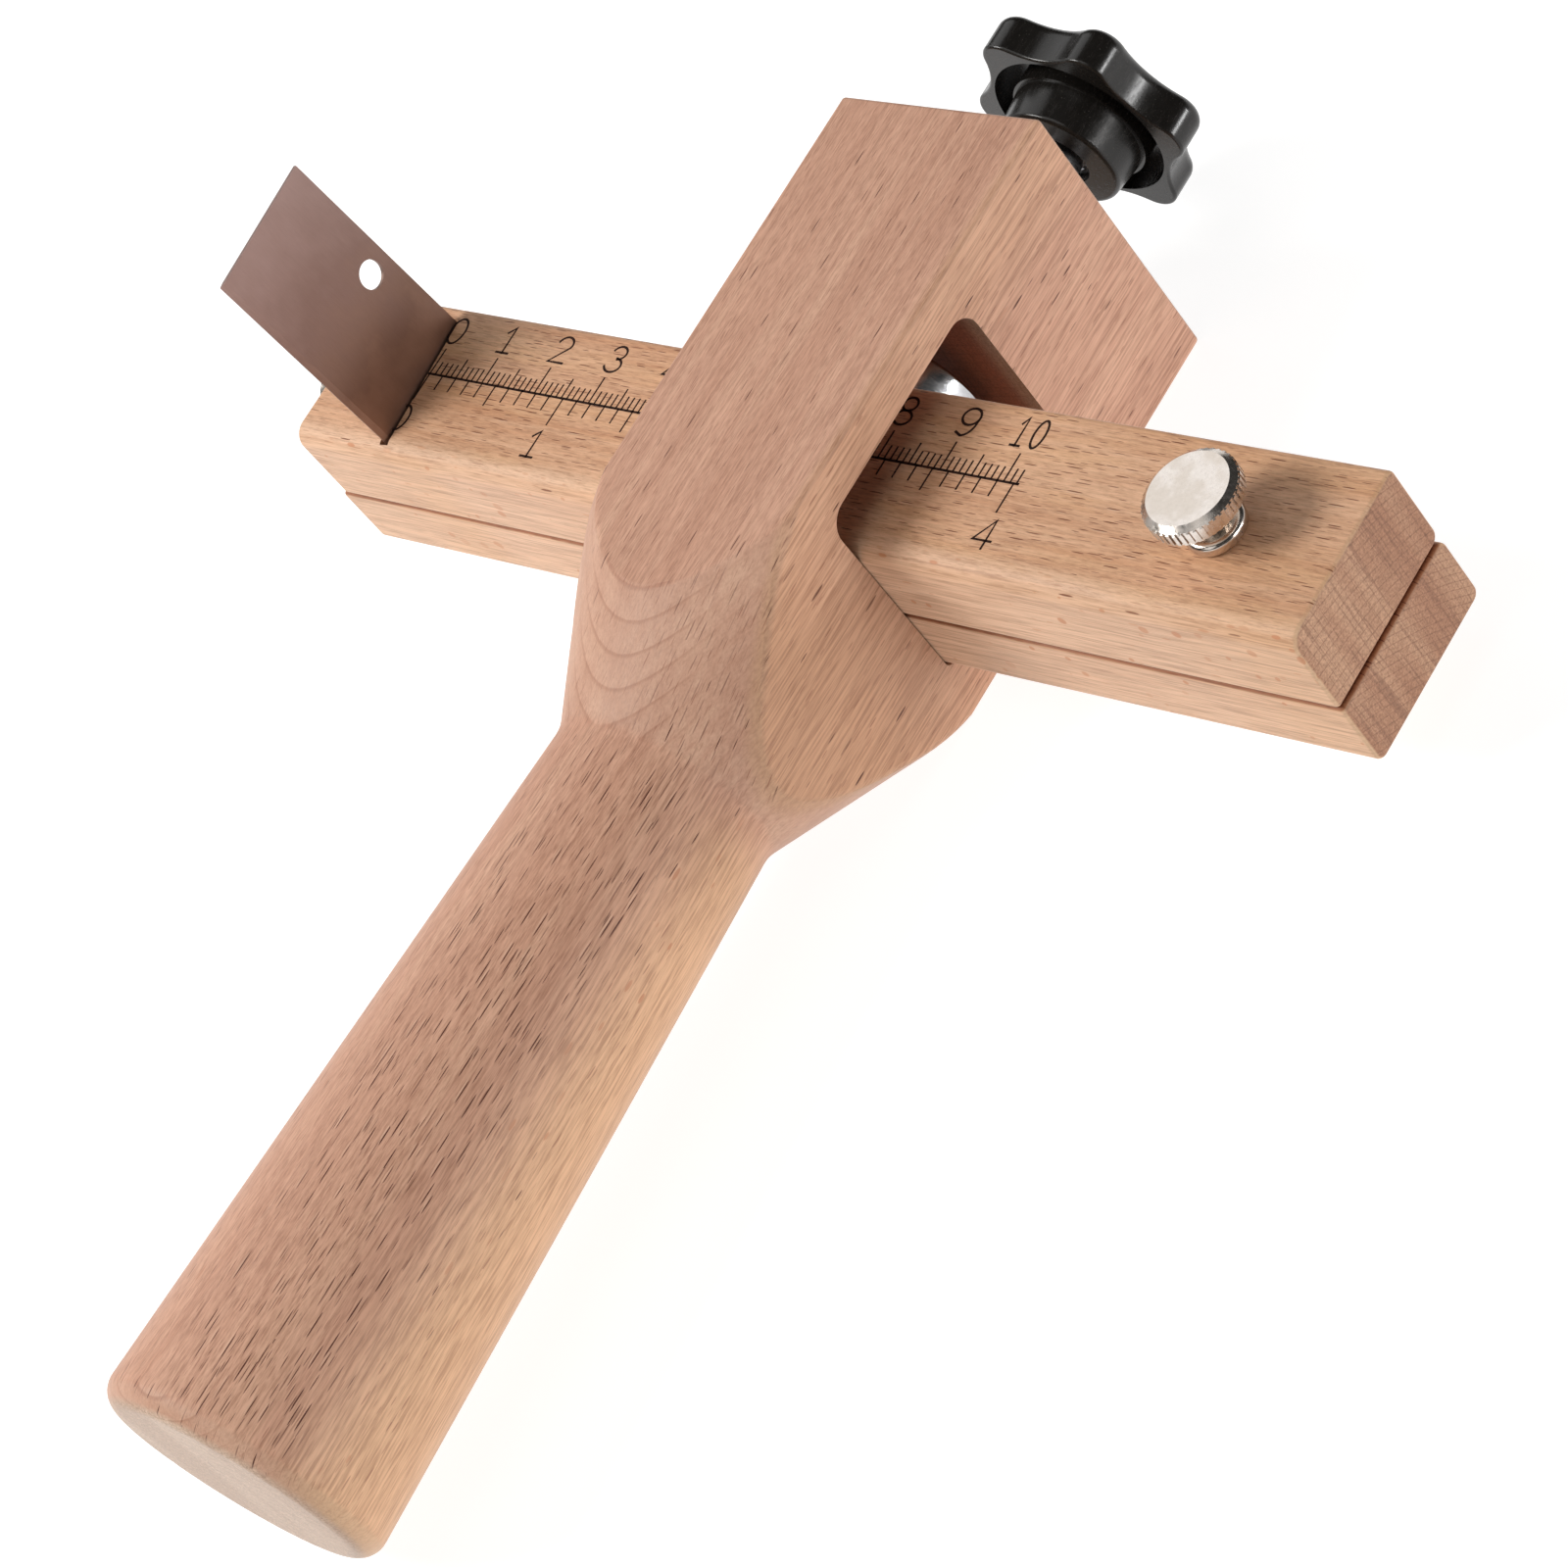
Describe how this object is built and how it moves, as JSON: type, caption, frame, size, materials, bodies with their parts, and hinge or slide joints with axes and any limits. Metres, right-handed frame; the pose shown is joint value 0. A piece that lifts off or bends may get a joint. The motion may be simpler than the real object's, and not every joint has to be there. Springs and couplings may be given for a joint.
{
  "type": "strap cutter",
  "caption": "Wooden hand tool with a turned handle, a ruled pair of beams sliding through its head, an upright blade at one end and knurled and star-knob clamp screws.",
  "frame": {"origin": "centre of the head block's flat back face, on which the tool lies, level with the beams' centre line", "axes": "+X along the beams towards the thumb screw, +Y along the handle axis towards the star knob, +Z out of the front face, the way the blade points"},
  "size_m": [0.172, 0.2028, 0.0623],
  "materials": {
    "beech_handle": "sanded beech, bare, grain along the handle",
    "beech_beam": "sanded beech, bare, grain along the beam, burnt-in scale marks",
    "black_plastic": "moulded black plastic, half gloss",
    "stud_steel": "zinc-plated steel",
    "bush_steel": "bright turned steel",
    "pad_steel": "turned steel, bright rim",
    "insert_brass": "turned brass",
    "nickel": "nickel plate, ridged rim, satin face",
    "blade_steel": "satin spring steel with a brown-grey oxide tone"
  },
  "bodies": {
    "handle_body": {"handle": "beech_handle", "knob_insert": "insert_brass"},
    "pad_body": {"clamp_pad": "pad_steel"},
    "knob_body": {"star_knob": "black_plastic", "knob_bush": "bush_steel", "clamp_stud": "stud_steel", "pad_clip": "stud_steel"},
    "rear_beam_body": {"rear_beam": "beech_beam", "thumb_insert": "insert_brass"},
    "front_beam_body": {"front_beam": "beech_beam", "end_insert": "insert_brass"},
    "thumb_screw_body": {"thumb_screw": "nickel"},
    "blade_body": {"blade": "blade_steel"},
    "end_screw_body": {"end_screw": "nickel"}
  },
  "joints": [
    {"name": "width_slide", "type": "slide", "parent": "handle_body", "child": "rear_beam_body", "axis": [1, 0, 0], "range_m": [-0.041, 0.05]},
    {"name": "gap_slide", "type": "slide", "parent": "rear_beam_body", "child": "front_beam_body", "axis": [0, 0, 1], "range_m": [0, 0.005]},
    {"name": "thumb_screw_turn", "type": "hinge", "parent": "front_beam_body", "child": "thumb_screw_body", "pos_m": [0.0642, 0, 0.0385], "axis": [0, 0, 1], "range_deg": [0, 2572]},
    {"name": "pad_slide", "type": "slide", "parent": "handle_body", "child": "pad_body", "axis": [0, 1, 0], "range_m": [0, 0.0024]},
    {"name": "knob_turn", "type": "hinge", "parent": "pad_body", "child": "knob_body", "pos_m": [0, 0.06, 0.02115], "axis": [0, 1, 0], "range_deg": [0, 864.5]},
    {"name": "blade_slide", "type": "slide", "parent": "front_beam_body", "child": "blade_body", "axis": [-0.1335, -0.0112, 0.991], "range_m": [-0.009, 0.019]},
    {"name": "end_screw_turn", "type": "hinge", "parent": "front_beam_body", "child": "end_screw_body", "pos_m": [-0.088, 0, 0.02475], "axis": [-1, 0, 0], "range_deg": [0, 720]}
  ],
  "couplings": [
    {"joint": "thumb_screw_turn", "follows": "gap_slide", "rad_per_m": 8976},
    {"joint": "knob_turn", "follows": "pad_slide", "rad_per_m": 6283.2}
  ]
}
